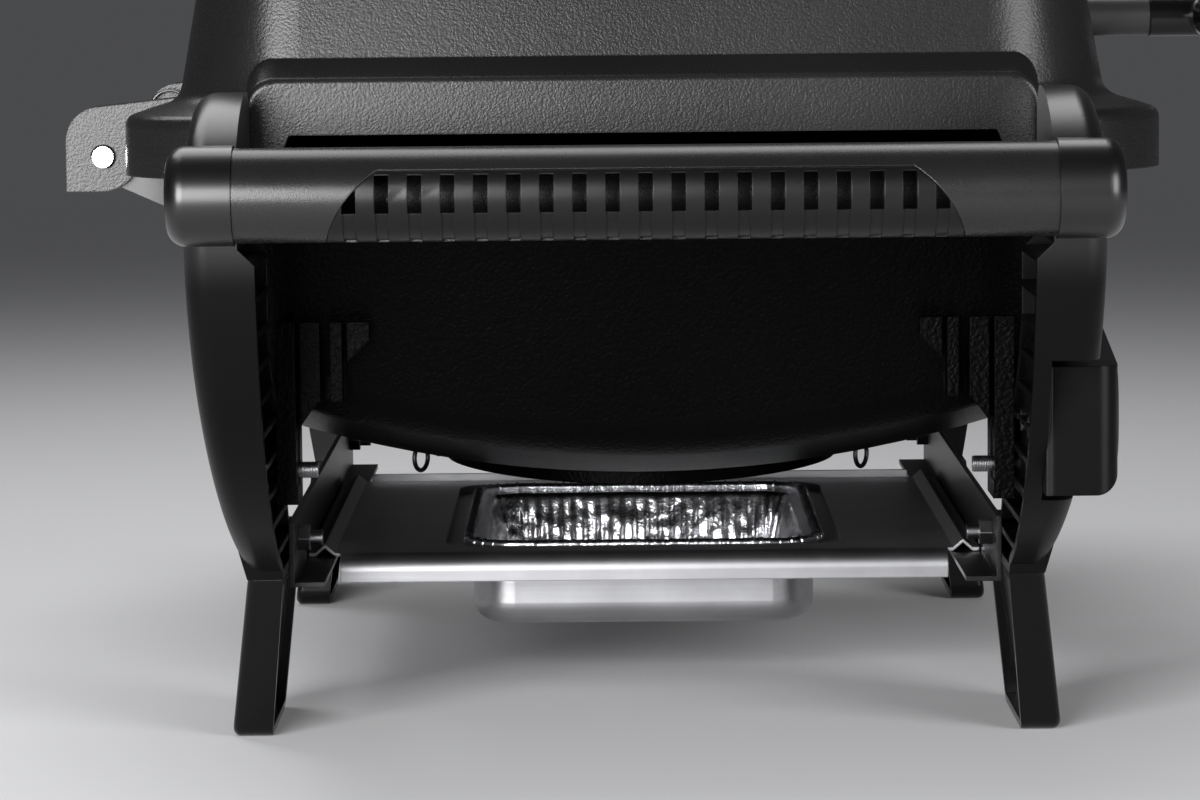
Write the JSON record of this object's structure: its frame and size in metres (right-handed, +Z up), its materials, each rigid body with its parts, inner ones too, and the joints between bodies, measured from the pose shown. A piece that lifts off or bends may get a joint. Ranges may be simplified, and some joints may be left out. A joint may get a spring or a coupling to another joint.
{
  "type": "electric grill",
  "caption": "Portable electric grill: hinged cast lid with front grip, cast cookbox, swept legs, carry handles, front control and sliding catch pan.",
  "frame": {"origin": "middle of the bounding box on the floor under the feet", "axes": "+X along the grill to the right, +Y to the hinge at the rear, +Z up"},
  "size_m": [0.8, 0.488, 0.386],
  "materials": {
    "lid_paint": "charcoal paint with a fine orange-peel texture",
    "cookbox_paint": "black textured paint",
    "frame_plastic": "dark grey satin moulding",
    "dark_plastic": "black satin moulding",
    "foot_plastic": "black semi-gloss moulding",
    "handle_spacer": "grey heat-resistant moulding",
    "grip_steel": "brushed along its length",
    "bright_steel": "bright plated steel",
    "rail_steel": "black powder coat",
    "pan_steel": "brushed sheet steel",
    "foil": "bright crinkled foil",
    "element_steel": "dark oxidised sheath",
    "grate_iron": "glossy enamel",
    "ceramic": "glazed ceramic",
    "lens_red": "clear red",
    "gland_rubber": "matt"
  },
  "bodies": {
    "stand": {"cookbox": "cookbox_paint", "collar_loops": "bright_steel", "left_handle_bar": "frame_plastic", "right_handle_bar": "frame_plastic", "left_grip_insert": "dark_plastic", "right_grip_insert": "dark_plastic", "front_left_leg": "frame_plastic", "rear_left_leg": "frame_plastic", "front_right_leg": "frame_plastic", "rear_right_leg": "frame_plastic", "front_left_foot": "foot_plastic", "rear_left_foot": "foot_plastic", "front_right_foot": "foot_plastic", "rear_right_foot": "foot_plastic", "front_rail": "rail_steel", "rear_rail": "rail_steel", "frame_bolts": "bright_steel", "rail_bolts": "bright_steel", "rail_nuts": "bright_steel", "control_housing": "frame_plastic", "control_back_cover": "dark_plastic", "control_screws": "bright_steel", "thermostat": "bright_steel", "indicator_lens": "lens_red", "cord_gland": "gland_rubber", "terminal_block": "ceramic", "heating_element": "element_steel", "terminal_sleeves": "ceramic", "element_brackets": "bright_steel", "grate_left": "grate_iron", "grate_right": "grate_iron"},
    "lid_body": {"lid": "lid_paint", "hinge_pins": "bright_steel", "hinge_pin_clips": "bright_steel", "lid_handle_spacers": "handle_spacer", "lid_handle_arms": "dark_plastic", "lid_handle_grip": "grip_steel", "lid_handle_end_caps": "dark_plastic", "lid_handle_screws": "bright_steel"},
    "pan_body": {"catch_pan": "pan_steel", "foil_tray": "foil"},
    "knob_body": {"control_knob": "dark_plastic", "knob_shaft": "bright_steel"}
  },
  "joints": [
    {"name": "lid_hinge", "type": "hinge", "parent": "stand", "child": "lid_body", "pos_m": [0, 0.229, 0.228], "axis": [-1, 0, 0], "range_deg": [0, 95]},
    {"name": "catch_pan_slide", "type": "slide", "parent": "stand", "child": "pan_body", "axis": [-1, 0, 0], "range_m": [0, 0.28]},
    {"name": "knob_turn", "type": "hinge", "parent": "stand", "child": "knob_body", "pos_m": [-0.268, -0.16495, 0.13], "axis": [-0.0726, -0.9974, 0], "range_deg": [-270, 0]}
  ]
}
